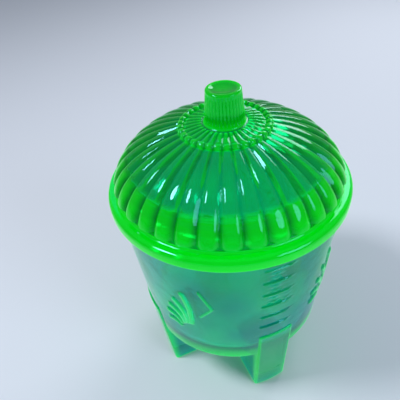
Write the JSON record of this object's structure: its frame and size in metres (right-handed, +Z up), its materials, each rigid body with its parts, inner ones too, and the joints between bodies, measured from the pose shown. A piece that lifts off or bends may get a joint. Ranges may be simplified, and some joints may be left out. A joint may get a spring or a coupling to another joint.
{
  "type": "lidded footed glass jar",
  "caption": "Lidded glass jar: tapered body on block feet with relief on its wall, and a fluted domed lid with a beaded ring, a knob and a locating flange.",
  "frame": {"origin": "on the jar's axis, in the plane of the four foot bottoms, which is the surface the jar stands on", "axes": "+Z up along the jar's axis to the knob, -Y towards the front panel between two feet, +X to the right of someone facing that panel, with the rungs on the wall between -Y and +X"},
  "size_m": [0.125, 0.125, 0.1776],
  "materials": {
    "jar_glass": "clear pressed green uranium glass",
    "lid_glass": "thick pressed green uranium glass"
  },
  "bodies": {
    "jar": {"jar": "jar_glass"},
    "lid": {"lid": "lid_glass"}
  },
  "joints": [
    {"name": "lid_lift", "type": "slide", "parent": "jar", "child": "lid", "axis": [0, 0, 1], "range_m": [0, 0.08]}
  ]
}
